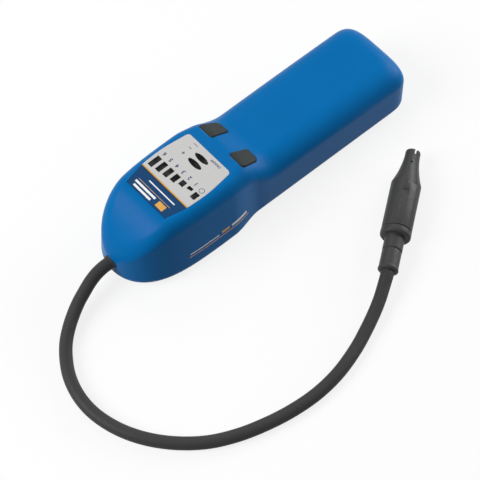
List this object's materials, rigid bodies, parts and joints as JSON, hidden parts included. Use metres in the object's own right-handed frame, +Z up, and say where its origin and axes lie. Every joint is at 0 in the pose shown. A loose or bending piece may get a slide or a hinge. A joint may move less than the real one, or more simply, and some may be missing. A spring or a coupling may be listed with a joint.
{
  "type": "refrigerant leak detector",
  "caption": "Handheld gas leak detector with a moulded body, display head, press keys, a bendable gooseneck and a tapered sampling probe.",
  "frame": {"origin": "middle of the body's flat back, on the surface it lies on", "axes": "+X along the body from nose to tail, +Z up out of the display, -Y towards the loop of the gooseneck"},
  "size_m": [0.3042, 0.1838, 0.0544],
  "materials": {
    "case_blue": "satin moulded, blue",
    "label_film": "printed film, light grey with a navy field",
    "smoked_window": "smoked",
    "key_grey": "soft, dark grey",
    "switch_white": "plain",
    "switch_black": "plain",
    "board_green": "lacquered",
    "screw_steel": "plain",
    "light_diffuser": "milky",
    "chip_black": "plain",
    "tube_clear": "milky, soft",
    "cell_alloy": "machined",
    "gold_can": "plated",
    "pump_black": "plain",
    "motor_steel": "drawn can",
    "battery_wrap": "wrapped",
    "contact_nickel": "plated",
    "fitting_black": "plain",
    "neck_black": "finely ribbed cover",
    "probe_grey": "satin, dark grey",
    "seal_black": "plain",
    "filter_white": "felt"
  },
  "bodies": {
    "case": {"upper_housing": "case_blue", "lower_housing": "case_blue", "housing_screws": "screw_steel", "face_label": "label_film", "bar_lens": "smoked_window", "mode_lens": "smoked_window", "power_switch": "switch_black", "mode_switch": "switch_black", "key_board": "board_green", "key_board_screws": "screw_steel", "main_board": "board_green", "board_screws": "screw_steel", "led_bar": "light_diffuser", "mode_leds": "light_diffuser", "controller_chip": "chip_black", "buzzer": "chip_black", "inlet_tube": "tube_clear", "sensor_cell": "cell_alloy", "infrared_lamp": "gold_can", "infrared_detector": "gold_can", "outlet_tube": "tube_clear", "pump_head": "pump_black", "pump_motor": "motor_steel", "pump_clamp": "pump_black", "battery_cell_1": "battery_wrap", "battery_cell_2": "battery_wrap", "battery_cell_3": "battery_wrap", "battery_cell_4": "battery_wrap", "front_contacts": "contact_nickel", "rear_contacts": "contact_nickel", "gooseneck_anchor": "fitting_black", "anchor_screw": "screw_steel", "gooseneck": "neck_black", "probe_sleeve": "probe_grey", "probe_neck": "probe_grey", "probe_collar": "probe_grey", "nozzle_seal": "seal_black"},
    "power_key": {"power_button": "key_grey", "power_plunger": "switch_white"},
    "mode_key": {"mode_button": "key_grey", "mode_plunger": "switch_white"},
    "door": {"battery_door": "case_blue"},
    "nozzle": {"probe_nozzle": "probe_grey", "filter_disc": "filter_white"}
  },
  "joints": [
    {"name": "power_press", "type": "slide", "parent": "case", "child": "power_key", "axis": [-0.5255, 0, -0.8508], "range_m": [0, 0.0012], "stiffness_N_per_m": 600},
    {"name": "mode_press", "type": "slide", "parent": "case", "child": "mode_key", "axis": [-0.5255, 0, -0.8508], "range_m": [0, 0.0012], "stiffness_N_per_m": 600},
    {"name": "door_swing", "type": "hinge", "parent": "case", "child": "door", "pos_m": [0.038, 0, 0.0012], "axis": [0, 1, 0], "range_deg": [0, 90]},
    {"name": "nozzle_turn", "type": "hinge", "parent": "case", "child": "nozzle", "pos_m": [0.03543, -0.09868, 0.00985], "axis": [0.809, 0.5878, 0], "continuous": true}
  ]
}
